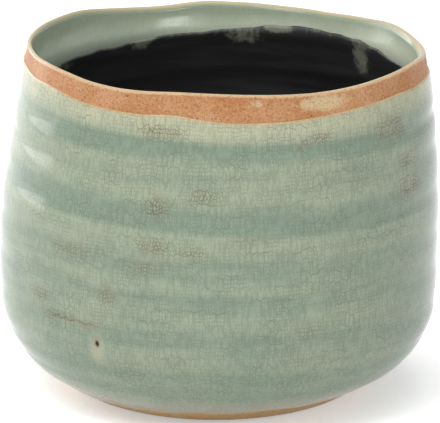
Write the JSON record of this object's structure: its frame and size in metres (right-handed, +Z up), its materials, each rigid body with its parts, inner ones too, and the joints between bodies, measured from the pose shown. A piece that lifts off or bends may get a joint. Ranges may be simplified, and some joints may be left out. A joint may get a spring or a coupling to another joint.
{
  "type": "cachepot",
  "caption": "Round hand-thrown stoneware cachepot with soft throwing rings, a pale green crackle glaze, a bare clay rim and a black sealed inside; holds a nursery pot.",
  "frame": {"origin": "under the middle of the belly, on the surface that the foot ring stands on", "axes": "+Z up out of the mouth, -Y towards the side that the picture shows, +X the side that the pot leans to"},
  "size_m": [0.1712, 0.1712, 0.1391],
  "materials": {
    "fired_clay": "matte",
    "crackle_glaze": "gloss",
    "black_lining": "satin"
  },
  "bodies": {
    "root": {"clay_body": "fired_clay", "outer_glaze": "crackle_glaze", "inner_glaze": "crackle_glaze", "waterproof_lining": "black_lining"}
  },
  "joints": []
}
